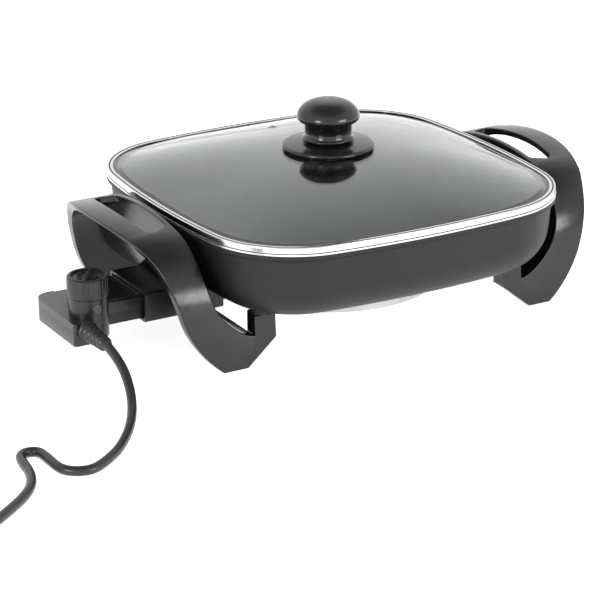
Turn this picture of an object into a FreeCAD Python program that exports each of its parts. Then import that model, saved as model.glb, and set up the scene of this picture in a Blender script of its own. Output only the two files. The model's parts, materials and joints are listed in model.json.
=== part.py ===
"""Electric skillet: square pan on two handle-and-leg arches, glass lid, plug-in heat control, dial and cord.

Millimetres, +Z up, +X to the right, the user stands at -Y. Everything is drawn about the pan's centre, on
the surface it stands on, and moved along X at the end, so that the origin is the middle of the footprint.
"""
import FreeCAD, Part
import math
import os
from FreeCAD import Vector

# ---------------------------------------------------------------- driving dimensions
# Pan: a rounded square with slightly bowed sides
PAN_HALF = 152.5
SIDE_RADIUS = 740.0
CORNER_RADIUS = 75.0
PAN_BOTTOM = 40.5
PAN_LIP_TOP = 98.5
LIP_HEIGHT = 4.5
LIP_OVERHANG = 3.2
WALL_TOP = 92.0
WALL_DRAFT = math.radians(5.0)
WALL = 3.0
FLOOR = 4.0
BOTTOM_RADIUS = 33.0
LIP_WIDTH = 6.2

# Handle and leg arch: from the grip's middle down to a leg, (radius, degrees turned) of each tangent arc
HANDLE_REACH = 205.6
PLATE = 4.6
RIM_DEPTH = 7.6
RIM_WIDTH = 2.6
WEB_SETBACK = 0.4
WEB_END_Y = 94.0
WEB_OPENING_HALF_Y = 31.0
WEB_OPENING_TOP = 47.5
ARCH_TOP = 104.5
ARCH_ARCS = ((235.0, 12.3), (55.0, 46.5), (60.0, 26.2))
EDGE_ROUND = 0.8
POST_INNER_X = 101.5
POST_OUTER_X = 119.0
POST_FRONT_Y = 95.0
POST_BACK_Y = 78.0
POST_BOTTOM = 20.0
POST_TOP = 38.0
COUNTERBORE_TOP = 26.0
LEG_SCREW_X = 110.0
LEG_SCREW_Y = 87.0
LEG_SCREW_TIP = 42.4
SLOT_INNER_X = 163.2
SLOT_OUTER_X = 185.4
SLOT_END_Y = 48.0
SLOT_RADIUS = 5.5

# Heater under the pan
PLATE_RADIUS = 92.0
PLATE_BOTTOM = 19.0
AXIS_Z = 34.6
PIN_RADIUS = 2.4
PIN_SPACING = 26.0
PIN_TIP_X = -184.0
PROBE_RADIUS = 3.0
PROBE_TIP_X = -60.0
RUNNING_GAP = 0.08

# Guard round the pins
GUARD_MOUTH_X = -176.3
GUARD_ROOT_X = -110.0
TONGUE_HALF_Y = 20.0
GUARD_HALF_Y = 29.5
GUARD_Z = (22.5, 46.5)
GUARD_WALL = 2.0
GUARD_SCREW_X = -117.5
GUARD_SCREW_Y = 24.0

# Lid
RIM_TOP = 103.4
GLASS_EDGE = 3.2
GLASS_THICKNESS = 4.0
GLASS_SHOULDER = 4.8
DOME_TOP = 125.5
VENT_PLACE = Vector(0.5, 90.0, 117.6)
VENT_TILT = -10.9
VENT_RADIUS = 2.4
CROWN_FLAT = DOME_TOP - 0.6
SKIRT_RADIUS = 36.0
SKIRT_HEIGHT = 5.0
KNOB_TOP = 163.6
KNOB_RADIUS = 24.6
NECK_RADIUS = 18.0

# Heat control
CONTROL_REACH = 242.5
BOX_X = (-CONTROL_REACH, -225.5)
BOX_Y = (-46.5, 27.0)
BOX_Z = (22.2, 39.6)
NOSE_BOTTOM = 25.2
NOSE_X = -166.0
NOSE_START_X = -209.5
NOSE_HALF_Y = 25.0
NOSE_TOP = 44.0
SPLIT_Z = 34.0
SHELL = 2.0
DIAL_X = -221.6
DIAL_Y = -27.0
DIAL_RADIUS = 15.7
TURRET_RADIUS = 14.9
TURRET_TOP = 53.0
DIAL_BOTTOM = 53.4
DIAL_TOP = 69.6
SHAFT_RADIUS = 3.0

# Cord
CORD_DIAMETER = 7.0
RELIEF_ROOT = Vector(-232.0, BOX_Y[0], 33.4)
COIL_CENTRE = (-437.0, -228.0)
COIL_RADIUS = 38.5
CORD_ROUTE = [
    (-232.0, -80.0, 33.0), (-232.2, -96.0, 29.5), (-233.2, -111.5, 22.8), (-236.6, -126.5, 14.8),
    (-243.0, -141.5, 8.0), (-252.5, -157.0, 4.4), (-264.7, -173.5, 3.5), (-279.4, -190.4, 3.5),
    (-300.9, -206.1, 3.5), (-310.4, -206.9, 3.5), (-318.9, -202.5, 3.5), (-323.9, -194.3, 3.5),
    (-323.7, -174.0, 3.5), (-324.2, -163.0, 3.5), (-331.1, -159.0, 3.5), (-338.5, -162.1, 3.5),
    (-341.4, -173.7, 3.5), (-343.3, -190.5, 3.5), (-349.3, -207.0, 3.5), (-359.5, -220.5, 3.5),
    (-374.5, -233.5, 3.5), (-393.0, -247.5, 3.5), (-414.0, -262.0, 3.5),
]

PARTS = {}
UP = Vector(0, 0, 1)
ALONG_X = Vector(1, 0, 0)
ALONG_Y = Vector(0, 1, 0)


# ---------------------------------------------------------------- helpers
def block(x, y, z):
    """A box from three (low, high) pairs."""
    return Part.makeBox(x[1] - x[0], y[1] - y[0], z[1] - z[0], Vector(x[0], y[0], z[0]))


def rod(radius, start, length, axis=UP):
    return Part.makeCylinder(radius, length, Vector(*start), axis)


def tube(outer, inner, start, length, axis=UP):
    return rod(outer, start, length, axis).cut(rod(inner, start, length, axis))


def turned(profile, centre=(0.0, 0.0)):
    """A solid of revolution about a vertical axis from (radius, z) points."""
    points = [Vector(r, 0, z) for r, z in profile]
    face = Part.Face(Part.makePolygon(points + points[:1]))
    solid = face.revolve(Vector(0, 0, 0), UP, 360)
    return solid.translated(Vector(centre[0], centre[1], 0))


def fuse_all(shapes):
    whole = shapes[0]
    for shape in shapes[1:]:
        whole = whole.fuse(shape)
    return whole.removeSplitter()


def rounded_edges(solid, radius, wanted):
    """Rounds the edges that the test picks."""
    edges = [edge for edge in solid.Edges if wanted(edge)]
    return solid.makeFillet(radius, edges)


def is_vertical(edge):
    box = edge.BoundBox
    return box.XLength < 0.01 and box.YLength < 0.01


def lies_at(edge, z):
    box = edge.BoundBox
    return abs(box.ZMin - z) < 0.05 and abs(box.ZMax - z) < 0.05


def half_turn(shape):
    """The same shape turned half way round the pan's centre."""
    turned_shape = shape.copy()
    turned_shape.rotate(Vector(0, 0, 0), UP, 180)
    return turned_shape


# ---------------------------------------------------------------- pan outline
SIDE_CENTRE = SIDE_RADIUS - PAN_HALF
GAP_RADIUS = SIDE_RADIUS - CORNER_RADIUS
CORNER_CENTRE = (math.sqrt(2 * GAP_RADIUS ** 2 - SIDE_CENTRE ** 2) - SIDE_CENTRE) / 2
TANGENT_ANGLE = math.atan2(CORNER_CENTRE, CORNER_CENTRE + SIDE_CENTRE)


def arc_about(cx, cy, radius, start, end, z):
    points = []
    for angle in (start, (start + end) / 2, end):
        points.append(Vector(cx + radius * math.cos(angle), cy + radius * math.sin(angle), z))
    return Part.Arc(*points).toShape()


def pan_outline(inset, z):
    """The pan's outline, moved inwards by inset, at height z: four side arcs and four corner arcs."""
    edges = []
    side = arc_about(-SIDE_CENTRE, 0, SIDE_RADIUS - inset, -TANGENT_ANGLE, TANGENT_ANGLE, z)
    corner = arc_about(CORNER_CENTRE, CORNER_CENTRE, CORNER_RADIUS - inset,
                       TANGENT_ANGLE, math.pi / 2 - TANGENT_ANGLE, z)
    for quarter in range(4):
        for edge in (side, corner):
            turned_edge = edge.copy()
            turned_edge.rotate(Vector(0, 0, 0), UP, 90 * quarter)
            edges.append(turned_edge)
    return Part.Wire(edges)


def outline_slab(inset, z0, z1):
    return Part.Face(pan_outline(inset, z0)).extrude(Vector(0, 0, z1 - z0))


def outline_ring(outer, inner, z0, z1):
    return outline_slab(outer, z0, z1).cut(outline_slab(inner, z0 - 1, z1 + 1))


def drafted_bowl(top_inset, top, bottom, radius):
    """The solid inside a drafted wall with a rounded bottom edge."""
    bottom_inset = top_inset + (top - bottom) * math.tan(WALL_DRAFT)
    wires = [pan_outline(bottom_inset, bottom), pan_outline(top_inset, top)]
    bowl = Part.makeLoft(wires, True, True)
    return rounded_edges(bowl, radius, lambda edge: lies_at(edge, bottom))


def leg_screw_places():
    return [(sx * LEG_SCREW_X, sy * LEG_SCREW_Y) for sx in (-1, 1) for sy in (-1, 1)]


def guard_screw_places():
    return [(GUARD_SCREW_X, side * GUARD_SCREW_Y) for side in (-1, 1)]


def heater_screw_places():
    spots = []
    for step in range(4):
        angle = math.radians(45 + 90 * step)
        spots.append((58 * math.cos(angle), 58 * math.sin(angle)))
    return spots


# ---------------------------------------------------------------- pan and heater
def make_pan():
    outside = drafted_bowl(LIP_OVERHANG, WALL_TOP, PAN_BOTTOM, BOTTOM_RADIUS)
    flare = Part.makeLoft([pan_outline(LIP_OVERHANG, WALL_TOP),
                           pan_outline(0, PAN_LIP_TOP - LIP_HEIGHT)], True, True)
    lip = outline_slab(0, PAN_LIP_TOP - LIP_HEIGHT, PAN_LIP_TOP)
    inside_top = PAN_LIP_TOP + 1
    inside = drafted_bowl(LIP_WIDTH, inside_top, PAN_BOTTOM + FLOOR, BOTTOM_RADIUS - WALL)
    bosses = [rod(8.0, (x, y, POST_TOP), 7.0) for x, y in leg_screw_places()]
    pads = [rod(7.0, (x, y, PAN_BOTTOM - 1.5), 3.0) for x, y in heater_screw_places()]
    body = fuse_all([outside, flare, lip] + bosses + pads).cut(inside)
    for x, y in leg_screw_places():
        body = body.cut(rod(2.5, (x, y, POST_TOP - 1), LEG_SCREW_TIP - POST_TOP + 1))
    for x, y in heater_screw_places():
        body = body.cut(rod(2.0, (x, y, PAN_BOTTOM - 2), 4.0))
    for x, y in guard_screw_places():
        body = body.cut(rod(1.6, (x, y, PAN_BOTTOM - 1), LEG_SCREW_TIP - PAN_BOTTOM + 1))
    return body, outside


def make_heater():
    top = PAN_BOTTOM - 1.5
    plate = turned([(0, 28.0), (66, 28.0), (70, PLATE_BOTTOM + 2), (72, PLATE_BOTTOM), (84, PLATE_BOTTOM),
                    (87, PLATE_BOTTOM + 1), (PLATE_RADIUS, 30.0), (PLATE_RADIUS, top), (0, top)])
    element_radius = 4.0
    ring_radius = 77.5
    ring_z = 25.6
    element = Part.makeTorus(ring_radius, element_radius, Vector(0, 0, ring_z))
    gap = block((-100, -60), (-13.5, 13.5), (15, 34))
    element = element.cut(gap)
    pins = []
    insulators = []
    pin_y = PIN_SPACING / 2
    for side in (-1, 1):
        start = (PIN_TIP_X, side * pin_y, AXIS_Z)
        pins.append(rod(PIN_RADIUS, start, -80.0 - PIN_TIP_X, ALONG_X))
        insulators.append(tube(5.0, PIN_RADIUS, (-125.0, side * pin_y, AXIS_Z), 45.0, ALONG_X))
    sleeve = tube(5.0, PROBE_RADIUS + RUNNING_GAP, (-125.0, 0, AXIS_Z), 75.0, ALONG_X)
    for shape in insulators + pins:
        plate = plate.cut(shape)
    plate = plate.cut(rod(5.0, (-125.0, 0, AXIS_Z), 75.0, ALONG_X)).cut(element)
    screws = []
    for x, y in heater_screw_places():
        plate = plate.cut(rod(2.2, (x, y, 20), 30))
        shank = rod(2.0, (x, y, 28.0), 14.4)
        screws.append(shank.fuse(rod(4.0, (x, y, 25.0), 3.0)).removeSplitter())
    PARTS["heater_plate"] = plate
    PARTS["heating_element"] = element
    PARTS["terminal_pins"] = Part.makeCompound(pins)
    PARTS["terminal_insulators"] = Part.makeCompound(insulators)
    PARTS["probe_sleeve"] = sleeve
    PARTS["heater_screws"] = Part.makeCompound(screws)


def make_guard(pan_outside):
    z0, z1 = GUARD_Z
    outer = block((GUARD_MOUTH_X, GUARD_ROOT_X), (-GUARD_HALF_Y, GUARD_HALF_Y), (z0, z1))
    outer = rounded_edges(outer, 2.0, lambda edge: edge.BoundBox.XLength > 50)
    inner_y = GUARD_HALF_Y - GUARD_WALL
    back_x = GUARD_ROOT_X - 15.0
    inner = block((GUARD_MOUTH_X - 1, back_x), (-inner_y, inner_y), (z0 + GUARD_WALL, z1 - GUARD_WALL))
    tongue = block((GUARD_ROOT_X - 1, -80.0), (-TONGUE_HALF_Y, TONGUE_HALF_Y), (z0 + GUARD_WALL, z1))
    guard = outer.cut(inner).fuse(tongue)
    for y in (-PIN_SPACING / 2, 0, PIN_SPACING / 2):
        guard = guard.cut(rod(5.0, (back_x - 1, y, AXIS_Z), 50, ALONG_X))
    room_for_pan = drafted_bowl(LIP_OVERHANG - 0.2, WALL_TOP, PAN_BOTTOM - 0.2, BOTTOM_RADIUS)
    guard = guard.cut(room_for_pan)
    guard = guard.cut(rod(PLATE_RADIUS, (0, 0, 15), 40))
    screws = []
    for x, y in guard_screw_places():
        guard = guard.cut(rod(1.6, (x, y, z0 - 1), 30))
        shank = rod(1.6, (x, y, z0), LEG_SCREW_TIP - z0)
        screws.append(shank.fuse(rod(3.2, (x, y, z0 - 2.0), 2.0)).removeSplitter())
    PARTS["socket_guard"] = guard
    PARTS["guard_screws"] = Part.makeCompound(screws)


# ---------------------------------------------------------------- handle and legs
def arch_block(depth, x0, x1):
    """The solid under the arch, at a depth below its outer surface, between two X planes."""
    heading = 0.0
    centre_y = 0.0
    centre_z = ARCH_TOP - ARCH_ARCS[0][0]
    half = []
    for (radius, degrees), following in zip(ARCH_ARCS, ARCH_ARCS[1:] + (None,)):
        end = heading + math.radians(degrees)
        points = []
        for angle in (heading, (heading + end) / 2, end):
            reach = radius - depth
            points.append(Vector(x0, centre_y + reach * math.sin(angle), centre_z + reach * math.cos(angle)))
        half.append(points)
        heading = end
        if following:
            centre_y += (radius - following[0]) * math.sin(heading)
            centre_z += (radius - following[0]) * math.cos(heading)
    knee = half[-1][2]
    foot = Vector(x0, knee.y + knee.z / math.tan(heading), 0)

    def flipped(point):
        return Vector(point.x, -point.y, point.z)

    crown = half[0]
    edges = [Part.Arc(flipped(crown[2]), crown[0], crown[2]).toShape()]
    for points in half[1:]:
        edges.append(Part.Arc(*points).toShape())
        edges.append(Part.Arc(*[flipped(point) for point in points]).toShape())
    edges.append(Part.LineSegment(knee, foot).toShape())
    edges.append(Part.LineSegment(flipped(knee), flipped(foot)).toShape())
    edges.append(Part.LineSegment(foot, flipped(foot)).toShape())
    wire = Part.Wire(Part.__sortEdges__(edges))
    return Part.Face(wire).extrude(Vector(x1 - x0, 0, 0))


def spline(points):
    curve = Part.BSplineCurve()
    curve.interpolate([Vector(*point) for point in points])
    return curve.toShape()


INNER_EDGE = [(159.4, 106.1), (158.4, 96), (156.6, 76), (153.4, 58), (147.0, 44), (136.5, 32.5),
              (127.5, 26.2), (POST_OUTER_X, 23.6)]


def web_solid():
    """The inner wall between the two legs: it follows their hooked inner edges and is open at the socket."""
    edges = []
    for move in (WEB_SETBACK, WEB_SETBACK + RIM_WIDTH):
        edges.append(spline([(x + move, -WEB_END_Y, z) for x, z in INNER_EDGE]))
    ends = [edge.Vertexes for edge in edges]
    for end in (0, -1):
        edges.append(Part.LineSegment(ends[0][end].Point, ends[1][end].Point).toShape())
    wall = Part.Face(Part.Wire(Part.__sortEdges__(edges))).extrude(Vector(0, 2 * WEB_END_Y, 0))
    return wall.cut(block((100, 215), (-WEB_OPENING_HALF_Y, WEB_OPENING_HALF_Y), (0, WEB_OPENING_TOP)))


def ribbon_outline():
    """Front view of a leg and the grip: flared outer edge, hooked inner edge, post and slanted foot."""
    front = -120.0
    outer = [(146.6, 0), (154.5, 7), (166.0, 21), (174.6, 37), (180.0, 55), (184.6, 70), (190.6, 86),
             (200.0, 98), (HANDLE_REACH + 8, ARCH_TOP + 1.6)]
    inner = INNER_EDGE
    corners = [(POST_OUTER_X, POST_TOP), (POST_INNER_X, POST_TOP), (POST_INNER_X, POST_BOTTOM),
               (126.2, 0)]

    def at(point):
        return (point[0], front, point[1])

    edges = [spline([at(point) for point in outer])]
    edges.append(spline([at(point) for point in inner]))
    for chain in ([outer[-1], inner[0]], [inner[-1]] + corners + [outer[0]]):
        for start, end in zip(chain, chain[1:]):
            edges.append(Part.LineSegment(Vector(*at(start)), Vector(*at(end))).toShape())
    return Part.Wire(Part.__sortEdges__(edges))


def grip_outline():
    """Plan view that bows the grip's outer side and leaves the legs beyond it free."""
    bow = [(190.2, -78, 0), (192.9, -70, 0), (195.8, -60, 0), (201.3, -40, 0), (HANDLE_REACH, 0, 0)]
    bow += [(x, -y, z) for x, y, z in reversed(bow[:-1])]
    far = HANDLE_REACH + 10
    corners = [(far, 78, 0), (far, 130, 0), (60, 130, 0), (60, -130, 0), (far, -130, 0), (far, -78, 0)]
    edges = [spline(bow)]
    chain = [bow[-1]] + corners + [bow[0]]
    for start, end in zip(chain, chain[1:]):
        edges.append(Part.LineSegment(Vector(*start), Vector(*end)).toShape())
    return Part.Wire(Part.__sortEdges__(edges))


def ribbon_solid():
    """Front view and plan view swept through each other."""
    front = Part.Face(ribbon_outline()).extrude(Vector(0, 240, 0))
    plan = Part.Face(grip_outline()).extrude(Vector(0, 0, 120))
    return front.common(plan)


def inside_rim(ribbon):
    """The part of the ribbon that lies a rim's width from its inner, outer and bottom edges."""
    core = ribbon
    for move in (Vector(RIM_WIDTH, 0, 0), Vector(-RIM_WIDTH, 0, 0), Vector(0, 0, RIM_WIDTH)):
        core = core.common(ribbon.translated(move))
    return core


def finger_slot(z):
    """Cutter for the finger slot: straight on the pan's side, bowed on the outside, with slanted ends."""
    bow_x = SLOT_OUTER_X - 5.0
    inner_end = SLOT_END_Y - 7.0
    ends = [(bow_x, -SLOT_END_Y), (SLOT_INNER_X, -inner_end), (SLOT_INNER_X, inner_end), (bow_x, SLOT_END_Y)]
    edges = [Part.Arc(Vector(*ends[3], z), Vector(SLOT_OUTER_X, 0, z), Vector(*ends[0], z)).toShape()]
    for start, stop in zip(ends, ends[1:]):
        edges.append(Part.LineSegment(Vector(*start, z), Vector(*stop, z)).toShape())
    prism = Part.Face(Part.Wire(edges)).extrude(Vector(0, 0, 40))
    return rounded_edges(prism, SLOT_RADIUS, is_vertical)


def on_outer_face(edge, skin):
    """True for a curved edge of the arch's outer face."""
    if isinstance(edge.Curve, Part.Line):
        return False
    for point in edge.discretize(5)[1:4]:
        if skin.distToShape(Part.Vertex(point))[0] > 0.01:
            return False
    return True


def make_handle():
    ribbon = ribbon_solid()
    core = inside_rim(ribbon)
    x0, x1 = 95.0, 215.0
    arch = arch_block(0, x0, x1)
    deep = arch.cut(arch_block(RIM_DEPTH, x0 - 1, x1 + 1)).common(ribbon)
    pocket = arch_block(PLATE, x0 - 1, x1 + 1).common(core)
    handle = deep.cut(pocket).cut(finger_slot(76.0))
    skin = Part.makeShell([face for face in arch.Faces if abs(face.normalAt(0, 0).x) < 0.5
                           and face.BoundBox.ZLength > 0.1])
    handle = rounded_edges(handle, EDGE_ROUND, lambda edge: on_outer_face(edge, skin))
    posts = []
    for side in (-1, 1):
        y0, y1 = sorted((side * POST_FRONT_Y, side * POST_BACK_Y))
        post = block((POST_INNER_X, POST_OUTER_X), (y0, y1), (POST_BOTTOM, POST_TOP))
        inner_face = side * POST_BACK_Y
        posts.append(rounded_edges(post, 7.0, lambda edge: is_vertical(edge) and
                                   abs(edge.BoundBox.YMin - inner_face) < 0.1))
    web = web_solid().common(arch_block(PLATE - 1.0, x0, x1))
    handle = fuse_all([handle, web] + posts)
    for side in (-1, 1):
        place = (LEG_SCREW_X, side * LEG_SCREW_Y)
        handle = handle.cut(rod(2.7, place + (0,), 60))
        handle = handle.cut(rod(5.2, place + (0,), COUNTERBORE_TOP))
    return handle


def leg_screws(x):
    screws = []
    top = COUNTERBORE_TOP
    for side in (-1, 1):
        y = side * LEG_SCREW_Y
        head = turned([(0, top - 3.6), (3.0, top - 3.6), (4.6, top - 2.0), (4.6, top), (0, top)], (x, y))
        slot = block((x - 0.5, x + 0.5), (y - 3, y + 3), (top - 4.6, top - 2.4))
        shank = rod(2.5, (x, y, top - 1.0), LEG_SCREW_TIP - top + 1.0)
        screws.append(head.fuse(shank).removeSplitter().cut(slot))
    return Part.makeCompound(screws)


# ---------------------------------------------------------------- lid
def squircle(half, power, z):
    """A closed superellipse: power 2 is a circle, higher powers are squarer."""
    points = []
    count = 32
    for step in range(count):
        angle = 2 * math.pi * (step + 0.5) / count
        c = math.cos(angle)
        s = math.sin(angle)
        radius = half / (abs(c) ** power + abs(s) ** power) ** (1 / power)
        points.append(Vector(radius * c, radius * s, z))
    curve = Part.BSplineCurve()
    curve.interpolate(Points=points, PeriodicFlag=True)
    return Part.Wire(curve.toShape())


def dome(edge_half, low, high, crown, shoulder):
    """A domed solid: a flat shoulder round a squarish edge, round at its crown."""
    rise = crown - high
    sections = [squircle(edge_half, 3.7, low), squircle(edge_half, 3.7, high)]
    wall = Part.makeLoft(sections, True, True)
    fractions = (1.0, 0.9, 0.72, 0.5, 0.2)
    rings = []
    for fraction in fractions:
        height = high + rise * (1 - fraction ** 2.2)
        rings.append(squircle((edge_half - shoulder) * fraction, 2 + 1.7 * fraction ** 1.5, height))
    return wall.fuse(Part.makeLoft(rings, True, False)).removeSplitter()


def at_vent(shape):
    """Tips a shape drawn about the origin square to the glass, and moves it to the vent."""
    tipped = shape.copy()
    tipped.rotate(Vector(0, 0, 0), ALONG_X, VENT_TILT)
    return tipped.translated(VENT_PLACE)


def make_lid():
    seat = PAN_LIP_TOP + 0.3
    sheet = 0.8
    rim = fuse_all([
        outline_ring(0.5, 1.3, seat, RIM_TOP),
        outline_ring(0.5, 5.2, RIM_TOP - sheet, RIM_TOP),
        outline_ring(0.5, 9.0, seat, seat + 0.6),
        outline_ring(8.2, 9.0, seat - 4.5, seat + 0.6),
    ])
    PARTS["lid_rim"] = rim
    glass_low = seat + 0.6
    edge_half = PAN_HALF - 1.6
    outer = dome(edge_half, glass_low, glass_low + GLASS_EDGE, DOME_TOP, GLASS_SHOULDER)
    inner = dome(edge_half - 9.5, glass_low - 1.0, glass_low, DOME_TOP - GLASS_THICKNESS, 0.2)
    glass = outer.cut(inner)
    glass = glass.common(outline_slab(1.4, seat - 2, DOME_TOP + 5))
    glass = glass.cut(at_vent(rod(VENT_RADIUS, (0, 0, -10), 20))).cut(rod(3.2, (0, 0, 90), 60))
    PARTS["lid_glass"] = glass
    PARTS["vent_eyelet"] = at_vent(turned([
        (1.5, -5.2), (3.6, -5.2), (3.6, -4.6), (2.3, -4.6), (2.3, 0.1), (3.9, 0.1), (3.4, 0.7), (1.5, 0.7)]))
    base = DOME_TOP + SKIRT_HEIGHT
    PARTS["knob_skirt"] = turned([
        (3.2, CROWN_FLAT), (35.0, CROWN_FLAT),
        (SKIRT_RADIUS, DOME_TOP + 0.4), (SKIRT_RADIUS, DOME_TOP + 2.2), (34.6, DOME_TOP + 3.0),
        (27.0, DOME_TOP + 4.0), (21.5, DOME_TOP + 4.6), (20.0, base), (3.2, base)])
    knob = turned([
        (2.0, base), (NECK_RADIUS, base), (NECK_RADIUS, KNOB_TOP - 16.6), (22.0, KNOB_TOP - 15.9),
        (24.0, KNOB_TOP - 14.8), (KNOB_RADIUS, KNOB_TOP - 13.2), (24.0, KNOB_TOP - 10.0),
        (22.2, KNOB_TOP - 7.0), (19.4, KNOB_TOP - 4.5), (15.6, KNOB_TOP - 2.4), (11.0, KNOB_TOP - 0.9),
        (6.0, KNOB_TOP - 0.2), (0, KNOB_TOP), (0, base + 18.0), (2.0, base + 18.0)])
    insert = tube(4.0, 2.0, (0, 0, base), 14.0)
    PARTS["lid_knob"] = knob.cut(rod(4.0, (0, 0, base - 1), 15.0))
    PARTS["knob_insert"] = insert
    below = CROWN_FLAT - GLASS_THICKNESS - 0.1
    PARTS["knob_gasket"] = tube(11.0, 3.2, (0, 0, below - 1.4), 1.4)
    PARTS["knob_washer"] = tube(9.0, 2.2, (0, 0, below - 2.6), 1.2)
    head = turned([(0, below - 5.4), (3.4, below - 5.4), (4.6, below - 4.0), (4.6, below - 2.6),
                   (0, below - 2.6)])
    PARTS["knob_screw"] = head.fuse(rod(2.0, (0, 0, below - 3.0), 22.0)).removeSplitter()


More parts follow.
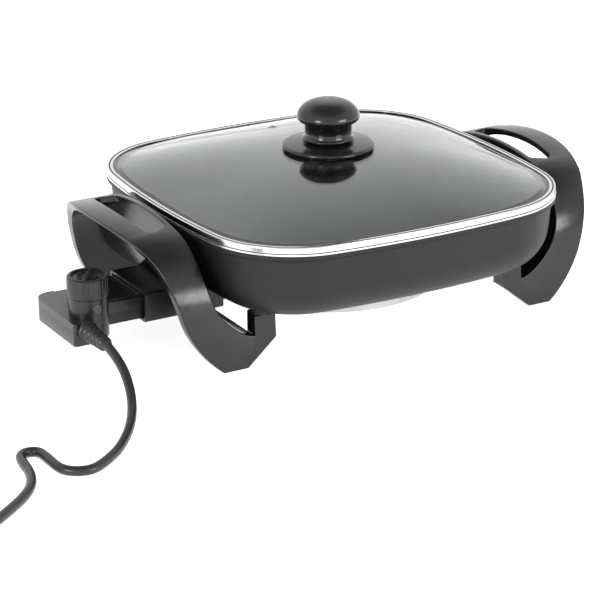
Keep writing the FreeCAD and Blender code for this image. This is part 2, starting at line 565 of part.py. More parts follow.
# ---------------------------------------------------------------- heat control
def make_control():
    z0, z1 = BOX_Z
    body = block(BOX_X, BOX_Y, (z0, z1))
    body = rounded_edges(body, 2.5, lambda edge: is_vertical(edge) and edge.BoundBox.YMin < 0)
    body = rounded_edges(body, 12.0, lambda edge: is_vertical(edge) and edge.BoundBox.YMin > 0
                         and edge.BoundBox.XMin < BOX_X[0] + 1)
    across = (-NOSE_HALF_Y, NOSE_HALF_Y)
    low_neck = block((BOX_X[1] - 4, NOSE_X), across, (NOSE_BOTTOM, z1))
    nose = block((NOSE_START_X, NOSE_X), across, (NOSE_BOTTOM, NOSE_TOP))
    nose = rounded_edges(nose, 2.0, lambda edge: edge.BoundBox.XLength > 20 and edge.BoundBox.ZMin > z1)
    turret = rod(TURRET_RADIUS, (DIAL_X, DIAL_Y, z0), TURRET_TOP - z0)
    outer = fuse_all([body, low_neck, nose, turret])

    room = block((BOX_X[0] + SHELL, BOX_X[1] + 1), (BOX_Y[0] + SHELL, BOX_Y[1] - SHELL),
                 (z0 + SHELL, z1 - SHELL))
    room = rounded_edges(room, 10.0, lambda edge: is_vertical(edge) and edge.BoundBox.YMin > 0
                         and edge.BoundBox.XMin < BOX_X[0] + SHELL + 1)
    room_across = (-NOSE_HALF_Y + SHELL, NOSE_HALF_Y - SHELL)
    neck_room = block((BOX_X[1] - 4 + SHELL, NOSE_X + 1), room_across, (NOSE_BOTTOM + SHELL, z1 - SHELL))
    nose_room = block((NOSE_START_X + SHELL, NOSE_X + 1), room_across,
                      (NOSE_BOTTOM + SHELL, NOSE_TOP - SHELL))
    turret_room = rod(TURRET_RADIUS - SHELL, (DIAL_X, DIAL_Y, z0 + SHELL), TURRET_TOP - z0 - 2 * SHELL)
    screw_spots = [(-234.5, 10.0, z0, z1), (-205.0, 18.5, NOSE_BOTTOM, NOSE_TOP)]
    posts = [rod(3.4, (x, y, floor + 1), roof - floor - 2) for x, y, floor, roof in screw_spots]
    inner = fuse_all([room, neck_room, nose_room, turret_room])
    for post in posts:
        inner = inner.cut(post)
    shell = outer.cut(inner)

    relief_hole = rod(4.6, (RELIEF_ROOT.x, RELIEF_ROOT.y - 1, RELIEF_ROOT.z), 6, ALONG_Y)
    bushing_hole = rod(5.0, (DIAL_X, DIAL_Y, TURRET_TOP - 4), 8)
    lens_z = 46.8
    lens_hole = rod(3.6, (DIAL_X, DIAL_Y - TURRET_RADIUS - 2, lens_z), 6, ALONG_Y)
    for cutter in (relief_hole, bushing_hole, lens_hole):
        shell = shell.cut(cutter)
    screws = []
    for x, y, floor, roof in screw_spots:
        shell = shell.cut(rod(1.3, (x, y, floor - 1), 14)).cut(rod(2.6, (x, y, floor - 1), 3))
        screw = rod(1.25, (x, y, floor + 0.5), 11).fuse(rod(2.4, (x, y, floor + 0.3), 1.6))
        screws.append(screw.removeSplitter())
    low = block((-260, -150), (-80, 60), (0, SPLIT_Z))
    PARTS["control_base"] = shell.common(low)
    PARTS["control_cover"] = shell.cut(low)
    PARTS["cover_screws"] = Part.makeCompound(screws)

    carrier_x = (NOSE_X - 24.0, NOSE_X)
    carrier = block(carrier_x, (-NOSE_HALF_Y + SHELL + 0.1, NOSE_HALF_Y - SHELL - 0.1),
                    (NOSE_BOTTOM + SHELL + 0.1, NOSE_TOP - SHELL - 0.1))
    length = carrier_x[1] - carrier_x[0]
    carrier = carrier.cut(rod(PROBE_RADIUS, (carrier_x[0], 0, AXIS_Z), length, ALONG_X))
    sleeves = []
    for side in (-1, 1):
        start = (carrier_x[0], side * PIN_SPACING / 2, AXIS_Z)
        carrier = carrier.cut(rod(4.2, start, length, ALONG_X))
        sleeves.append(tube(4.2, PIN_RADIUS + RUNNING_GAP, start, length - 1.5, ALONG_X))
    carrier = carrier.cut(block((carrier_x[0] - 1, carrier_x[0] + 5), (-3, 3), (AXIS_Z, 60)))
    PARTS["contact_carrier"] = carrier
    PARTS["contact_sleeves"] = Part.makeCompound(sleeves)
    probe = rod(PROBE_RADIUS, (carrier_x[0], 0, AXIS_Z), PROBE_TIP_X - carrier_x[0], ALONG_X)
    PARTS["probe"] = rounded_edges(probe, 2.0, lambda edge: edge.BoundBox.XMin > PROBE_TIP_X - 0.1)

    blade_x = (-206.0, carrier_x[0])
    blades = [block(blade_x, (-4.0, 4.0), (z, z + 0.5)) for z in (36.4, 39.6)]
    PARTS["thermostat_blades"] = Part.makeCompound(blades)
    rivets = [rod(2.0, (-202.0, 0, 36.9), 1.3), rod(2.0, (-202.0, 0, 38.3), 1.3)]
    PARTS["blade_contacts"] = Part.makeCompound(rivets)
    PARTS["shaft_bushing"] = tube(5.0, SHAFT_RADIUS + 0.05, (DIAL_X, DIAL_Y, TURRET_TOP - 6), 6.0)
    lens = rod(3.6, (DIAL_X, DIAL_Y - TURRET_RADIUS - 0.6, lens_z), 3.4, ALONG_Y)
    PARTS["indicator_lens"] = rounded_edges(lens, 0.5, lambda edge: edge.BoundBox.YMax < DIAL_Y
                                            - TURRET_RADIUS - 0.5)
    PARTS["indicator_lamp"] = rod(1.6, (DIAL_X, DIAL_Y - TURRET_RADIUS + 2.9, lens_z), 3.0, ALONG_Y)
    clamp = block((RELIEF_ROOT.x - 6, RELIEF_ROOT.x + 6), (BOX_Y[0] + 6, BOX_Y[0] + 11),
                  (z0 + SHELL, 37.5))
    PARTS["cord_clamp"] = clamp.cut(rod(3.2, (RELIEF_ROOT.x, BOX_Y[0] + 5, RELIEF_ROOT.z), 7, ALONG_Y))
    wires = []
    for side in (-1, 1):
        x = RELIEF_ROOT.x + 1.6 * side
        first = rod(1.2, (x, BOX_Y[0] + 3.0, RELIEF_ROOT.z), 29.0 + 5 * side, ALONG_Y)
        reach = carrier_x[0] - x
        y = BOX_Y[0] + 32.0 + 5 * side
        second = rod(1.2, (x, y, RELIEF_ROOT.z), reach, ALONG_X)
        wires.append(first.fuse(second).fuse(Part.makeSphere(1.2, Vector(x, y, RELIEF_ROOT.z))))
    PARTS["lead_wires"] = Part.makeCompound(wires)


def make_dial():
    x, y = DIAL_X, DIAL_Y
    groove = 0.7
    body = turned([
        (0, DIAL_BOTTOM), (DIAL_RADIUS - 0.5, DIAL_BOTTOM), (DIAL_RADIUS, DIAL_BOTTOM + 0.5),
        (DIAL_RADIUS, DIAL_TOP - 1.6), (DIAL_RADIUS - 1.2, DIAL_TOP - 0.4),
        (DIAL_RADIUS - 3.4, DIAL_TOP - 0.4),
        (DIAL_RADIUS - 3.4, DIAL_TOP - 1.8), (8.6, DIAL_TOP - 1.8), (8.6, DIAL_TOP - 1.1),
        (7.6, DIAL_TOP - 1.1), (7.6, DIAL_TOP - 1.8), (0, DIAL_TOP - 1.8)], (x, y))
    ribs = 30
    for step in range(ribs):
        angle = 2 * math.pi * step / ribs
        place = (x + (DIAL_RADIUS + 0.35) * math.cos(angle), y + (DIAL_RADIUS + 0.35) * math.sin(angle))
        body = body.cut(rod(groove, place + (DIAL_BOTTOM + 4.0,), 20))
    grip = block((x - 1.7, x + 1.7), (y - DIAL_RADIUS + 2.4, y + DIAL_RADIUS - 2.4),
                 (DIAL_TOP - 3, DIAL_TOP))
    grip = rounded_edges(grip, 0.8, lambda edge: edge.BoundBox.ZMin > DIAL_TOP - 0.1)
    grip.rotate(Vector(x, y, 0), UP, -38)
    body = body.fuse(grip).removeSplitter()
    shaft_top = DIAL_TOP - 5.0
    PARTS["dial"] = body.cut(rod(SHAFT_RADIUS, (x, y, DIAL_BOTTOM - 1), shaft_top - DIAL_BOTTOM + 1))
    shaft = rod(SHAFT_RADIUS, (x, y, 37.0), shaft_top - 37.0)
    cam = rod(6.0, (x + 1.5, y, 42.0), 2.4)
    PARTS["dial_shaft"] = shaft.fuse(cam).removeSplitter()


# ---------------------------------------------------------------- cord
def cord_path():
    """Straight runs joined by tangent arcs, each as large as its two runs allow."""
    points = [Vector(*point) for point in CORD_ROUTE]
    edges = []
    radii = []
    start = points[0]
    for before, corner, after in zip(points, points[1:], points[2:]):
        run_in = corner - before
        run_out = after - corner
        half_bend = run_in.getAngle(run_out) / 2
        cut = 0.45 * min(run_in.Length, run_out.Length)
        radius = cut / math.tan(half_bend)
        radii.append(round(radius, 1))
        enter = corner - run_in.normalize() * cut
        leave = corner + run_out.normalize() * cut
        middle = corner + (run_out - run_in).normalize() * (radius / math.cos(half_bend) - radius)
        edges.append(Part.LineSegment(start, enter).toShape())
        edges.append(Part.Arc(enter, middle, leave).toShape())
        start = leave
    edges.append(Part.LineSegment(start, points[-1]).toShape())
    return Part.Wire(edges), radii


def make_cord():
    radius = CORD_DIAMETER / 2
    path, radii = cord_path()
    first = Vector(*CORD_ROUTE[1]) - Vector(*CORD_ROUTE[0])
    section = Part.Wire(Part.Circle(Vector(*CORD_ROUTE[0]), first, radius).toShape())
    cord = path.makePipeShell([section], True, False)
    expected = math.pi * radius ** 2 * path.Length
    print("cord tube length", round(path.Length, 1), "volume ratio", round(cord.Volume / expected, 4))
    print("cord arc radii", radii)
    PARTS["cord"] = cord

    tip = Vector(*CORD_ROUTE[0])
    axis = tip - RELIEF_ROOT
    length = axis.Length
    relief = Part.makeCone(7.4, 4.9, length, RELIEF_ROOT, axis)
    collars = []
    for t in (0.3, 0.5, 0.7, 0.9):
        collars.append(Part.makeCylinder(7.4 - 2.5 * t, 2.2, RELIEF_ROOT + axis * t, axis))
    plug_in = Part.makeCylinder(4.6, SHELL, RELIEF_ROOT, Vector(0, 1, 0))
    PARTS["strain_relief"] = fuse_all([relief, plug_in] + collars)

    x, y = COIL_CENTRE
    half = CORD_DIAMETER
    height = radius * (2 + math.sqrt(3))
    inner = COIL_RADIUS - half
    outer = COIL_RADIUS + half
    shoulder = 2.6
    coil = turned([(inner, 1.2), (inner + 1.2, 0), (outer - 1.2, 0), (outer, 1.2), (outer, 5.8),
                   (outer - shoulder, height - 1.2), (outer - shoulder - 1.2, height),
                   (inner + shoulder + 1.2, height), (inner + shoulder, height - 1.2), (inner, 5.8)], (x, y))
    PARTS["cord_coil"] = coil
    band = block((x - outer - 0.9, x - inner + 0.9), (y + 14, y + 19), (0, height + 0.9))
    PARTS["cord_tie"] = band.cut(coil)

    plug_y = y + outer - radius
    plug_x = x + 10.0
    body = block((plug_x, plug_x + 26), (plug_y - 6, plug_y + 14), (0, 14))
    body = rounded_edges(body, 4.0, lambda edge: edge.BoundBox.XLength > 20)
    neck = Part.makeCone(4.2, 5.6, 12, Vector(plug_x - 12, plug_y, 7), ALONG_X)
    plug = body.fuse(neck).removeSplitter().cut(coil)
    PARTS["plug_body"] = max(plug.Solids, key=lambda solid: solid.Volume)
    blades = [block((plug_x + 26, plug_x + 43.5), (plug_y + dy - 0.75, plug_y + dy + 0.75), (3.8, 10.2))
              for dy in (-2.35, 10.35)]
    PARTS["plug_blades"] = Part.makeCompound(blades)


# ---------------------------------------------------------------- assembly
CORD_NODES = ("cord", "cord_coil", "cord_tie", "plug_body", "plug_blades", "strain_relief")


def main():
    pan, pan_outside = make_pan()
    PARTS["pan"] = pan
    make_heater()
    make_guard(pan_outside)
    right = make_handle()
    PARTS["right_handle"] = right
    PARTS["left_handle"] = half_turn(right)
    PARTS["right_handle_screws"] = leg_screws(LEG_SCREW_X)
    PARTS["left_handle_screws"] = leg_screws(-LEG_SCREW_X)
    make_lid()
    make_control()
    make_dial()
    make_cord()

    boxes = [shape.BoundBox for name, shape in PARTS.items() if name not in CORD_NODES]
    low = min(box.XMin for box in boxes)
    high = max(box.XMax for box in boxes)
    shift = Vector(-(low + high) / 2, 0, 0)
    print("overall length", round(high - low, 2), "pan centre at x", round(shift.x, 3))
    os.makedirs("parts", exist_ok=True)
    for name, shape in PARTS.items():
        placed = shape.translated(shift)
        placed.exportStep("parts/" + name + ".step")
        box = placed.BoundBox
        kind = "closed" if all(solid.isValid() and solid.isClosed() for solid in placed.Solids) else "OPEN"
        print(f"{name:20s} solids {len(placed.Solids)} {kind} volume {placed.Volume:10.0f}"
              f" x {box.XMin:7.1f} {box.XMax:7.1f} y {box.YMin:7.1f} {box.YMax:7.1f}"
              f" z {box.ZMin:6.1f} {box.ZMax:6.1f}")


main()
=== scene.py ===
import json
import math

import bmesh
import bpy
from mathutils import Matrix, Vector


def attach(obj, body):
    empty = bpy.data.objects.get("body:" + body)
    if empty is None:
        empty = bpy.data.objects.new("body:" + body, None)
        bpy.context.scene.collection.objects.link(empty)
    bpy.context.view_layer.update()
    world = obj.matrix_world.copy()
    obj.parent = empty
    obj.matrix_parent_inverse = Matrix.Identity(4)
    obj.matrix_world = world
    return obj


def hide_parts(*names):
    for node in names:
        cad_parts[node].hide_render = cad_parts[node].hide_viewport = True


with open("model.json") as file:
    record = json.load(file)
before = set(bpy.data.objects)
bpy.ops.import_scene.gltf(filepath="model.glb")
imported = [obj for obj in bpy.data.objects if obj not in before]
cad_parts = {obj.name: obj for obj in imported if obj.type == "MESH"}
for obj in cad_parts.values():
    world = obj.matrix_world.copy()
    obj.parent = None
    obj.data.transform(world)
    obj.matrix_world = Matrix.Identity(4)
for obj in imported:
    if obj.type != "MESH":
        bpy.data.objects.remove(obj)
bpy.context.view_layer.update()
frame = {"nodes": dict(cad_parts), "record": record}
nodes = frame["nodes"]

PAN_X = 0.01845
PAN_HALF = 0.1525
SIDE_R = 0.740
CORNER_R = 0.075
RIM_TOP = 0.1034
DOME_TOP = 0.1255
KNOB_TOP = 0.1636


# ---------------------------------------------------------------- shader helpers
class Shader:
    """A material with a principled shader and short calls for adding nodes."""

    def __init__(self, name, color, rough, metal=0.0, **extra):
        self.mat = bpy.data.materials.new(name)
        self.mat.use_nodes = True
        self.tree = self.mat.node_tree
        self.bsdf = self.tree.nodes["Principled BSDF"]
        self.set("Base Color", (*color, 1.0))
        self.set("Roughness", rough)
        self.set("Metallic", metal)
        for key, value in extra.items():
            self.set(key.replace("_", " "), value)
        self.coords = self.add("ShaderNodeTexCoord")

    def set(self, socket, value):
        self.bsdf.inputs[socket].default_value = value

    def add(self, kind, **values):
        node = self.tree.nodes.new(kind)
        for key, value in values.items():
            if key in node.inputs:
                node.inputs[key].default_value = value
            else:
                setattr(node, key, value)
        return node

    def link(self, a, b):
        self.tree.links.new(a, b)

    def noise(self, scale, detail=4.0, rough=0.55, stretch=(1, 1, 1)):
        mapping = self.add("ShaderNodeMapping")
        mapping.inputs["Scale"].default_value = stretch
        self.link(self.coords.outputs["Object"], mapping.inputs["Vector"])
        tex = self.add("ShaderNodeTexNoise", Scale=scale, Detail=detail, Roughness=rough)
        self.link(mapping.outputs["Vector"], tex.inputs["Vector"])
        return tex.outputs["Fac"]

    def spread(self, fac, low, high, socket):
        ramp = self.add("ShaderNodeMapRange")
        ramp.inputs["From Min"].default_value = 0.3
        ramp.inputs["From Max"].default_value = 0.7
        ramp.inputs["To Min"].default_value = low
        ramp.inputs["To Max"].default_value = high
        self.link(fac, ramp.inputs["Value"])
        self.link(ramp.outputs["Result"], self.bsdf.inputs[socket])

    def bump(self, fac, depth, strength=0.5):
        node = self.add("ShaderNodeBump", Strength=strength, Distance=depth)
        self.link(fac, node.inputs["Height"])
        self.link(node.outputs["Normal"], self.bsdf.inputs["Normal"])

    def two_tone(self, fac, dark, light, low=0.35, high=0.65):
        ramp = self.add("ShaderNodeValToRGB")
        ramp.color_ramp.elements[0].position = low
        ramp.color_ramp.elements[0].color = (*dark, 1.0)
        ramp.color_ramp.elements[1].position = high
        ramp.color_ramp.elements[1].color = (*light, 1.0)
        self.link(fac, ramp.inputs["Fac"])
        self.link(ramp.outputs["Color"], self.bsdf.inputs["Base Color"])

    def above(self, height, soft=0.0002):
        """0 below a height, 1 above it."""
        split = self.add("ShaderNodeSeparateXYZ")
        self.link(self.coords.outputs["Object"], split.inputs[0])
        ramp = self.add("ShaderNodeMapRange")
        ramp.inputs["From Min"].default_value = height - soft
        ramp.inputs["From Max"].default_value = height + soft
        self.link(split.outputs["Z"], ramp.inputs["Value"])
        return ramp.outputs["Result"]

    def mix(self, fac, a, b):
        node = self.add("ShaderNodeMix", data_type="FLOAT")
        self.link(fac, node.inputs[0])
        for socket, value in ((node.inputs[2], a), (node.inputs[3], b)):
            if isinstance(value, float):
                socket.default_value = value
            else:
                self.link(value, socket)
        return node.outputs[0]

    def mix_color(self, fac, a, b):
        node = self.add("ShaderNodeMix", data_type="RGBA")
        self.link(fac, node.inputs[0])
        self.link(a, node.inputs[6])
        node.inputs[7].default_value = b
        return node.outputs[2]


# ---------------------------------------------------------------- materials
def coating():
    s = Shader("pan_coating", (0.02, 0.02, 0.02), 0.5, Specular_IOR_Level=0.36)
    bare = s.above(0.0973)
    lip = s.above(0.0943)
    ramp = s.add("ShaderNodeValToRGB")
    ramp.color_ramp.elements[0].position = 0.35
    ramp.color_ramp.elements[0].color = (0.004, 0.004, 0.0042, 1)
    ramp.color_ramp.elements[1].position = 0.75
    ramp.color_ramp.elements[1].color = (0.009, 0.009, 0.0093, 1)
    s.link(s.noise(2600, 2), ramp.inputs["Fac"])
    shade = s.mix_color(lip, ramp.outputs["Color"], (0.004, 0.004, 0.004, 1))
    s.link(s.mix_color(bare, shade, (0.86, 0.86, 0.86, 1)), s.bsdf.inputs["Base Color"])
    s.link(bare, s.bsdf.inputs["Metallic"])
    s.link(s.mix(bare, 0.50, 0.22), s.bsdf.inputs["Roughness"])
    s.bump(s.noise(900, 3), 0.00012, 0.3)
    return s.mat


def black_gloss(name, rough=0.09, grey=0.006):
    s = Shader(name, (grey, grey, grey * 1.05), rough)
    s.spread(s.noise(240, 5), rough * 0.8, rough * 1.35, "Roughness")
    s.two_tone(s.noise(60, 3), (grey * 0.85,) * 3, (grey * 1.2,) * 3)
    s.bump(s.noise(70, 2), 0.00008, 0.06)
    return s.mat


def black_satin(name, grey=0.008, rough=0.42, grain=2200):
    s = Shader(name, (grey,) * 3, rough)
    s.spread(s.noise(400, 4), rough * 0.92, rough * 1.1, "Roughness")
    s.two_tone(s.noise(160, 4), (grey * 0.85,) * 3, (grey * 1.18,) * 3)
    s.bump(s.noise(grain, 3), 0.00003, 0.12)
    return s.mat


def metal(name, color, rough, stretch=(1, 1, 1), scale=500, depth=0.00003):
    s = Shader(name, color, rough, metal=1.0)
    fac = s.noise(scale, 5, 0.6, stretch)
    s.spread(fac, rough * 0.75, rough * 1.3, "Roughness")
    s.two_tone(fac, tuple(c * 0.92 for c in color), color)
    s.bump(fac, depth, 0.15)
    return s.mat


def casting():
    s = Shader("heater_casting", (0.8, 0.8, 0.79), 0.45, metal=0.75)
    s.spread(s.noise(300, 5), 0.35, 0.55, "Roughness")
    s.two_tone(s.noise(35, 6), (0.44, 0.44, 0.435), (0.56, 0.56, 0.555))
    s.bump(s.noise(1200, 4), 0.0001, 0.25)
    return s.mat


def glass(name, tint, rough=0.0):
    s = Shader(name, tint, rough, Transmission_Weight=1.0, IOR=1.52, Specular_Tint=(0.94, 1.0, 0.975, 1.0))
    s.bump(s.noise(9, 2), 0.0002, 0.05)
    return s.mat


def lens():
    s = Shader("lens_plastic", (0.02, 0.006, 0.006), 0.1, Coat_Weight=0.5)
    s.two_tone(s.noise(700, 3), (0.004, 0.003, 0.003), (0.008, 0.004, 0.004))
    return s.mat


def soft_rubber(name, color, rough=0.5):
    s = Shader(name, color, rough)
    s.spread(s.noise(500, 4), rough * 0.85, rough * 1.2, "Roughness")
    s.two_tone(s.noise(120, 4), tuple(c * 0.85 for c in color), tuple(min(1, c * 1.15) for c in color))
    s.bump(s.noise(1500, 3), 0.00005, 0.25)
    return s.mat


MATERIALS = {
    "pan_coating": coating(),
    "heater_casting": casting(),
    "element_sheath": metal("element_sheath", (0.42, 0.41, 0.40), 0.4),
    "pin_steel": metal("pin_steel", (0.75, 0.75, 0.76), 0.18, (1, 12, 12)),
    "ceramic": soft_rubber("ceramic", (0.85, 0.82, 0.76), 0.6),
    "bright_steel": metal("bright_steel", (0.72, 0.72, 0.73), 0.25),
    "guard_phenolic": black_satin("guard_phenolic", 0.002, 0.34),
    "handle_phenolic": black_gloss("handle_phenolic", 0.20, 0.004),
    "rim_steel": metal("rim_steel", (0.66, 0.66, 0.66), 0.15),
    "lid_glass": glass("lid_glass", (0.80, 0.84, 0.82)),
    # painted shadow: a near-black finish for the strip that stands in for the shade in the lid rim's rolled
    # seam
    "seam_shadow": soft_rubber("seam_shadow", (0.03, 0.03, 0.03), 0.5),
    "knob_phenolic": black_gloss("knob_phenolic", 0.17, 0.006),
    "insert_brass": metal("insert_brass", (0.78, 0.58, 0.28), 0.25),
    "silicone": soft_rubber("silicone", (0.55, 0.55, 0.55), 0.55),
    "control_plastic": black_satin("control_plastic", 0.007, 0.26),
    "dial_plastic": black_satin("dial_plastic", 0.008, 0.30),
    "insulator_plastic": soft_rubber("insulator_plastic", (0.20, 0.11, 0.06), 0.5),
    "spring_bronze": metal("spring_bronze", (0.75, 0.52, 0.30), 0.3),
    "lens_plastic": lens(),
    "lamp_glass": glass("lamp_glass", (0.9, 0.75, 0.6)),
    "wire_insulation": soft_rubber("wire_insulation", (0.75, 0.75, 0.72), 0.7),
    "cord_jacket": soft_rubber("cord_jacket", (0.010, 0.010, 0.011), 0.33),
    "plug_vinyl": soft_rubber("plug_vinyl", (0.010, 0.010, 0.011), 0.38),
    "blade_brass": metal("blade_brass", (0.80, 0.74, 0.55), 0.22),
}
slot_of = {part["node"]: part["material_slot"] for part in frame["record"]["subparts"]}

BEVELS = {
    "control_base": 0.0006, "heater_plate": 0.0008, "socket_guard": 0.0003, "dial": 0.00025,
    "contact_carrier": 0.0004,
}
for name, obj in nodes.items():
    obj.data.materials.clear()
    obj.data.materials.append(MATERIALS[slot_of[name]])
    for poly in obj.data.polygons:
        poly.use_smooth = True
    if obj.data.has_custom_normals:
        with bpy.context.temp_override(object=obj, active_object=obj, selected_objects=[obj]):
            bpy.ops.mesh.customdata_custom_splitnormals_clear()
    weld = obj.modifiers.new("weld", "WELD")
    weld.merge_threshold = 1e-6
    width = BEVELS.get(name, 0.0)
    if width:
        bevel = obj.modifiers.new("bevel", "BEVEL")
        bevel.width = width
        bevel.segments = 3
        bevel.limit_method = "ANGLE"
        bevel.angle_limit = math.radians(40)
        bevel.use_clamp_overlap = True
    split = obj.modifiers.new("split", "EDGE_SPLIT")
    split.split_angle = math.radians(28)


# ---------------------------------------------------------------- mesh helpers
def new_object(name, data, material, body, replaced=()):
    obj = bpy.data.objects.new(name, data)
    bpy.context.scene.collection.objects.link(obj)
    data.materials.append(MATERIALS[material])
    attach(obj, body)
    if replaced:
        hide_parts(*replaced)
    return obj


def mesh_from(name, verts, faces, material, body, replaced=()):
    mesh = bpy.data.meshes.new(name)
    mesh.from_pydata(verts, [], faces)
    for poly in mesh.polygons:
        poly.use_smooth = True
    mesh.update()
    return new_object(name, mesh, material, body, replaced)


def grid_faces(rows, columns, closed_rows=False):
    """Quads of a grid whose columns wrap; the rows wrap too when asked."""
    faces = []
    for row in range(rows if closed_rows else rows - 1):
        below = (row + 1) % rows
        for column in range(columns):
            beside = (column + 1) % columns
            faces.append((row * columns + column, row * columns + beside,
                          below * columns + beside, below * columns + column))
    return faces


def smooth_profile(points, radius, steps=4):
    """Rounds the inner corners of a polyline of (r, z) points."""
    result = [Vector(points[0])]
    for before, corner, after in zip(points, points[1:], points[2:]):
        a, b, c = Vector(before), Vector(corner), Vector(after)
        reach = min(radius, (a - b).length * 0.45, (c - b).length * 0.45)
        enter = b + (a - b).normalized() * reach
        leave = b + (c - b).normalized() * reach
        for step in range(steps + 1):
            t = step / steps
            result.append(enter.lerp(b, t).lerp(b.lerp(leave, t), t))
    result.append(Vector(points[-1]))
    return result


def lathe(name, profile, centre, material, body, replaced=(), segments=128):
    """A turned piece about a vertical axis; a profile point on the axis becomes a tiny ring."""
    verts = []
    for r, z in profile:
        r = max(r, 1e-5)
        for step in range(segments):
            angle = 2 * math.pi * step / segments
            verts.append((centre[0] + r * math.cos(angle), centre[1] + r * math.sin(angle), z))
    return mesh_from(name, verts, grid_faces(len(profile), segments), material, body, replaced)


def pan_outline(inset, per_side=28, per_corner=20):
    """(x, y) round the pan: four shallow side arcs and four corner arcs."""
    side_centre = SIDE_R - PAN_HALF
    gap = SIDE_R - CORNER_R
    corner = (math.sqrt(2 * gap * gap - side_centre * side_centre) - side_centre) / 2
    tangent = math.atan2(corner, corner + side_centre)
    quarter = []
    for step in range(per_side):
        angle = -tangent + 2 * tangent * step / per_side
        quarter.append((-side_centre, 0, SIDE_R, angle))
    for step in range(per_corner):
        angle = tangent + (math.pi / 2 - 2 * tangent) * step / per_corner
        quarter.append((corner, corner, CORNER_R, angle))
    points = []
    for turn in range(4):
        spin = Matrix.Rotation(turn * math.pi / 2, 2)
        for cx, cy, radius, angle in quarter:
            normal = Vector((math.cos(angle), math.sin(angle)))
            place = spin @ (Vector((cx, cy)) + normal * (radius - inset))
            points.append((PAN_X + place.x, place.y))
    return points


def outline_sweep(name, profile, material, body, replaced=(), closed=True):
    """Sweeps a profile of (inset, z) points round the pan's outline."""
    verts = []
    rings = [pan_outline(inset) for inset, z in profile]
    for (inset, z), ring in zip(profile, rings):
        verts.extend((x, y, z) for x, y in ring)
    return mesh_from(name, verts, grid_faces(len(profile), len(rings[0]), closed), material, body, replaced)


# ---------------------------------------------------------------- lid
def rounded_loop(points, radius, steps=3):
    """A closed profile with every corner rounded."""
    doubled = points[-1:] + points + points[:1]
    return smooth_profile(doubled, radius, steps)[1:-1]


SEAT = 0.0988
SHEET = 0.0006
SKIRT_DROP = 0.0045
rim_profile = rounded_loop([
    (0.0005, SEAT + 0.0002), (0.0005, RIM_TOP), (0.0052, RIM_TOP), (0.0052, RIM_TOP - 0.0008),
    (0.0015, RIM_TOP - 0.0008), (0.0015, SEAT + SHEET), (0.0090, SEAT + SHEET), (0.0090, SEAT - SKIRT_DROP),
    (0.0082, SEAT - SKIRT_DROP), (0.0082, SEAT), (0.0008, SEAT)], 0.0003)
outline_sweep("lid_rim_visual", rim_profile, "rim_steel", "lid", ["lid_rim"])

# A thin dark strip just above the rim's top: painted shadow that stands in for the shade in the rim's rolled
# seam.
seam_shadow_profile = [
    (0.0019, RIM_TOP - 0.0002), (0.0019, RIM_TOP + 0.0001), (0.0031, RIM_TOP + 0.0001),
    (0.0031, RIM_TOP - 0.0002),
]
outline_sweep("lid_seam_shadow_visual", seam_shadow_profile, "seam_shadow", "lid")

GLASS_LOW = SEAT + SHEET
GLASS_HALF = PAN_HALF - 0.0016
GLASS_EDGE = 0.0032
GLASS_THICKNESS = 0.004
GLASS_SHOULDER = 0.0048
GLASS_COLUMNS = 160
EDGE_POWER = 3.7
DOME_FRACTIONS = (1.0, 0.985, 0.96, 0.93, 0.9, 0.85, 0.8, 0.74, 0.68, 0.6, 0.52, 0.44, 0.36, 0.28, 0.2,
                  0.12, 0.05)


def squircle_radius(half, power, angle):
    c, s = abs(math.cos(angle)), abs(math.sin(angle))
    return half / (c ** power + s ** power) ** (1 / power)


def squircle_ring(half, power, z):
    """A ring of points on a superellipse: power 2 is a circle, higher powers are squarer."""
    ring = []
    for column in range(GLASS_COLUMNS):
        angle = 2 * math.pi * column / GLASS_COLUMNS
        r = squircle_radius(half, power, angle)
        ring.append((PAN_X + r * math.cos(angle), r * math.sin(angle), z))
    return ring


def dome_rings(half, high, crown, shoulder):
    """Rings from the dome's edge to its crown, squarish at the edge and round at the crown."""
    rings = []
    for fraction in DOME_FRACTIONS:
        height = high + (crown - high) * (1 - fraction ** 2.2)
        rings.append(squircle_ring((half - shoulder) * fraction, 2 + 1.7 * fraction ** 1.5, height))
    return rings


def make_glass():
    """A closed shell: outer dome, upright edge and inner dome, each crown closed by one face."""
    outer = dome_rings(GLASS_HALF, GLASS_LOW + GLASS_EDGE, DOME_TOP, GLASS_SHOULDER)
    inner = dome_rings(GLASS_HALF - 0.0095, GLASS_LOW, DOME_TOP - GLASS_THICKNESS, 0.0002)
    edge = [squircle_ring(GLASS_HALF, EDGE_POWER, z) for z in (GLASS_LOW + GLASS_EDGE, GLASS_LOW)]
    rings = outer[::-1] + edge + inner
    verts = [point for ring in rings for point in ring]
    faces = grid_faces(len(rings), GLASS_COLUMNS)
    glass_obj = mesh_from("lid_glass_visual", verts, faces, "lid_glass", "lid", ["lid_glass"])
    mesh = bmesh.new()
    mesh.from_mesh(glass_obj.data)
    mesh.verts.ensure_lookup_table()
    last = (len(rings) - 1) * GLASS_COLUMNS
    for start in (0, last):
        loop = [mesh.verts[start + column] for column in range(GLASS_COLUMNS)]
        mesh.faces.new(loop if start else loop[::-1])
    bmesh.ops.recalc_face_normals(mesh, faces=mesh.faces)
    mesh.to_mesh(glass_obj.data)
    mesh.free()
    for poly in glass_obj.data.polygons:
        poly.use_smooth = True
    split = glass_obj.modifiers.new("split", "EDGE_SPLIT")
    split.split_angle = math.radians(50)


make_glass()

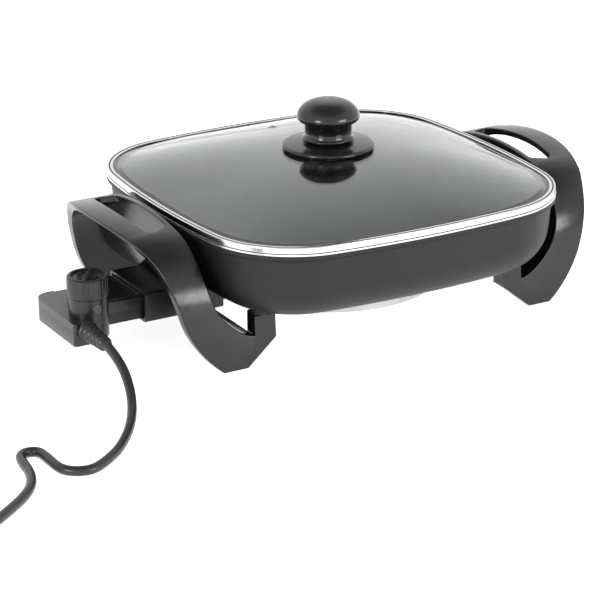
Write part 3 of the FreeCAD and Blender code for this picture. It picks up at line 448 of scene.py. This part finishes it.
SKIRT_TOP = DOME_TOP + 0.0050
SKIRT_BOTTOM = DOME_TOP - 0.0006
skirt_profile = smooth_profile([
    (0.0032, SKIRT_TOP), (0.0032, SKIRT_BOTTOM), (0.0350, SKIRT_BOTTOM), (0.0360, DOME_TOP + 0.0004),
    (0.0360, DOME_TOP + 0.0022), (0.0346, DOME_TOP + 0.0030), (0.0270, DOME_TOP + 0.0040),
    (0.0215, DOME_TOP + 0.0046), (0.0200, SKIRT_TOP), (0.0032, SKIRT_TOP)], 0.0006)
lathe("knob_skirt_visual", skirt_profile, (PAN_X, 0), "knob_phenolic", "lid", ["knob_skirt"])

HEAD_RADIUS = 0.0246
HEAD_RISE = 0.0132
HEAD_DROP = 0.0046
NECK = 0.0183
UNDERSIDE = 0.0192


def knob_profile():
    """A thin flange, a neck and a head that bulges low on its side under a flattened dome."""
    widest = KNOB_TOP - HEAD_RISE
    points = [
        (0.0040, SKIRT_TOP), (0.0176, SKIRT_TOP), (0.0180, SKIRT_TOP + 0.0014), (0.0203, SKIRT_TOP + 0.0020),
        (0.0205, SKIRT_TOP + 0.0028), (0.0190, SKIRT_TOP + 0.0036), (NECK, SKIRT_TOP + 0.0046),
        (NECK, KNOB_TOP - 0.0172), (NECK + 0.0006, KNOB_TOP - 0.0176),
    ]
    below_steps = 12
    for step in range(1, below_steps + 1):
        t = math.pi / 2 * step / below_steps
        reach = UNDERSIDE + (HEAD_RADIUS - UNDERSIDE) * math.sin(t)
        points.append((reach, widest - HEAD_DROP * math.cos(t)))
    above_steps = 24
    for step in range(1, above_steps + 1):
        t = math.pi / 2 * step / above_steps
        points.append((HEAD_RADIUS * math.cos(t) ** 0.72, widest + HEAD_RISE * math.sin(t) ** 1.15))
    return points


lathe("lid_knob_visual", knob_profile(), (PAN_X, 0), "knob_phenolic", "lid", ["lid_knob"])


# ---------------------------------------------------------------- cord
CORD_R = 0.0035
SHIFT = Vector((PAN_X, 0, 0))
ROUTE = [
    (-0.2320, -0.0800, 0.0330), (-0.2322, -0.0960, 0.0295), (-0.2332, -0.1115, 0.0228),
    (-0.2366, -0.1265, 0.0148), (-0.2430, -0.1415, 0.0080), (-0.2525, -0.1570, 0.0044),
    (-0.2647, -0.1735, 0.0035), (-0.2794, -0.1904, 0.0035), (-0.3009, -0.2061, 0.0035),
    (-0.3104, -0.2069, 0.0035), (-0.3189, -0.2025, 0.0035), (-0.3239, -0.1943, 0.0035),
    (-0.3237, -0.1740, 0.0035), (-0.3242, -0.1630, 0.0035), (-0.3311, -0.1590, 0.0035),
    (-0.3385, -0.1621, 0.0035), (-0.3414, -0.1737, 0.0035), (-0.3433, -0.1905, 0.0035),
    (-0.3493, -0.2070, 0.0035), (-0.3595, -0.2205, 0.0035), (-0.3745, -0.2335, 0.0035),
    (-0.3930, -0.2475, 0.0035), (-0.4140, -0.2620, 0.0035),
]
COIL = Vector((-0.4370, -0.2280, 0.0))
COIL_R = 0.0385
TURNS = 3
POINTS_PER_TURN = 16
CROSSING = 0.35
GROOVE_RISE = 1.732


def coil_points():
    """Three turns: two side by side on the floor, one in the groove on top of them."""
    start = math.atan2(ROUTE[-1][1] - COIL.y, ROUTE[-1][0] - COIL.x)
    points = []
    for step in range(1, TURNS * POINTS_PER_TURN + 1):
        turn = step / POINTS_PER_TURN
        inwards = min(1.0, max(0.0, turn - 0.9) / CROSSING)
        upwards = min(1.0, max(0.0, turn - 1.9) / CROSSING)
        radius = COIL_R + CORD_R - 2 * CORD_R * inwards + CORD_R * upwards
        height = CORD_R + GROOVE_RISE * CORD_R * upwards
        angle = start - 2 * math.pi * turn
        points.append((COIL.x + radius * math.cos(angle), COIL.y + radius * math.sin(angle), height))
    return points


def nurbs(name, points, radius, material, body, replaced):
    data = bpy.data.curves.new(name, "CURVE")
    data.dimensions = "3D"
    data.bevel_depth = radius
    data.bevel_resolution = 6
    data.resolution_u = 8
    data.use_fill_caps = True
    spline = data.splines.new("NURBS")
    spline.points.add(len(points) - 1)
    for place, point in zip(spline.points, points):
        place.co = (*(Vector(point) + SHIFT), 1.0)
    spline.order_u = 3
    spline.use_endpoint_u = True
    return new_object(name, data, material, body, replaced)


cord_obj = nurbs("cord_visual", ROUTE + coil_points(), CORD_R, "cord_jacket", "heat_control",
                 ["cord", "cord_coil"])


def along(start, end, profile, name, material, replaced, segments=48):
    """A turned piece whose axis runs from start to end; profile is (fraction of the way, radius)."""
    start, end = Vector(start) + SHIFT, Vector(end) + SHIFT
    frame_of = (end - start).to_track_quat("Z", "Y").to_matrix()
    length = (end - start).length
    verts = []
    for t, radius in profile:
        for step in range(segments):
            angle = 2 * math.pi * step / segments
            local = Vector((radius * math.cos(angle), radius * math.sin(angle), t * length))
            verts.append(tuple(start + frame_of @ local))
    return mesh_from(name, verts, grid_faces(len(profile), segments), material, "heat_control", replaced)


def relief_profile():
    """A root collar, then ribs with grooves between them, tapering to the cord."""
    profile = [(-0.03, 0.0001), (-0.03, 0.0078), (0.06, 0.0078), (0.09, 0.0060)]
    ribs = 5
    groove = 0.0016
    for rib in range(ribs):
        t = 0.13 + 0.17 * rib
        full = 0.0074 - 0.0022 * t
        profile += [(t - 0.03, full - groove), (t - 0.015, full), (t + 0.065, full - 0.0002),
                    (t + 0.08, full - groove), (t + 0.11, full - 0.0018)]
    profile += [(0.985, 0.0040), (1.0, 0.0037), (1.0, 0.0001)]
    return profile


RELIEF_ROOT = (-0.2320, -0.0465, 0.0334)
relief = along(RELIEF_ROOT, ROUTE[0], relief_profile(), "strain_relief_visual", "plug_vinyl",
               ["strain_relief"])


# ---------------------------------------------------------------- stage
FLOOR_Z = -0.0005


def floor():
    """A wide, pale floor just under the feet."""
    mesh = bpy.data.meshes.new("floor")
    size = 6.0
    corners = [(-size, -size, 0), (size, -size, 0), (size, size, 0), (-size, size, 0)]
    mesh.from_pydata(corners, [], [(0, 1, 2, 3)])
    obj = bpy.data.objects.new("floor", mesh)
    bpy.context.scene.collection.objects.link(obj)
    s = Shader("floor_white", (0.85, 0.85, 0.85), 0.6, Specular_IOR_Level=0.1,
               Emission_Color=(1.0, 1.0, 1.0, 1.0), Emission_Strength=0.75)
    mesh.materials.append(s.mat)
    obj.location.z = FLOOR_Z


floor()


LIGHT_AIM = Vector((0, 0, 0.07))


def softbox(name, place, size, radiance, mirrored=True):
    """An area light that faces the object; mirrored says whether glossy surfaces show it."""
    data = bpy.data.lights.new(name, "AREA")
    data.shape = "RECTANGLE"
    data.size, data.size_y = size
    data.energy = radiance * math.pi * size[0] * size[1]
    obj = bpy.data.objects.new(name, data)
    obj.location = place
    direction = LIGHT_AIM - Vector(place)
    obj.rotation_euler = direction.to_track_quat("-Z", "Y").to_euler()
    obj.visible_camera = False
    obj.visible_glossy = mirrored
    bpy.context.scene.collection.objects.link(obj)


softbox("front_right", (0.62, -1.50, 0.40), (0.80, 0.42), 9.0)
softbox("left", (-1.45, -0.62, 0.38), (0.45, 0.40), 14.0)
softbox("overhead", (-0.2, -0.3, 1.9), (1.6, 1.6), 0.9, mirrored=False)


def studio():
    """Bright round the horizon, darker overhead, so that glossy pieces show soft gradients."""
    world = bpy.data.worlds.new("studio")
    world.use_nodes = True
    tree = world.node_tree
    coords = tree.nodes.new("ShaderNodeTexCoord")
    split = tree.nodes.new("ShaderNodeSeparateXYZ")
    ramp = tree.nodes.new("ShaderNodeValToRGB")
    ramp.color_ramp.interpolation = "EASE"
    ramp.color_ramp.elements[0].position = 0.60
    ramp.color_ramp.elements[0].color = (1, 1, 1, 1)
    ramp.color_ramp.elements[1].position = 0.95
    ramp.color_ramp.elements[1].color = (0.30, 0.30, 0.30, 1)
    tree.links.new(coords.outputs["Generated"], split.inputs[0])
    tree.links.new(split.outputs["Z"], ramp.inputs["Fac"])
    tree.links.new(ramp.outputs["Color"], tree.nodes["Background"].inputs["Color"])
    tree.nodes["Background"].inputs["Strength"].default_value = 1.2
    bpy.context.scene.world = world


studio()
bpy.context.scene.view_settings.view_transform = "Standard"


# ---------------------------------------------------------------- camera
CAMERA_PLACE = (-0.904303, -1.563201, 0.693796)
CAMERA_AZIMUTH = math.radians(-29.8452)
CAMERA_ELEVATION = math.radians(21.0007)
CAMERA_ROLL = math.radians(-0.2293)
CAMERA_LENS = 146.339


def camera():
    """The camera looks down at the elevation, turned by the azimuth about the vertical."""
    data = bpy.data.cameras.new("camera")
    data.sensor_width = 36.0
    data.lens = CAMERA_LENS
    data.clip_end = 50
    obj = bpy.data.objects.new("camera", data)
    bpy.context.scene.collection.objects.link(obj)
    tilt = Matrix.Rotation(math.pi / 2 - CAMERA_ELEVATION, 4, "X")
    turn = Matrix.Rotation(CAMERA_AZIMUTH, 4, "Z")
    roll = Matrix.Rotation(CAMERA_ROLL, 4, "Z")
    obj.matrix_world = Matrix.Translation(CAMERA_PLACE) @ turn @ tilt @ roll
    bpy.context.scene.camera = obj


camera()
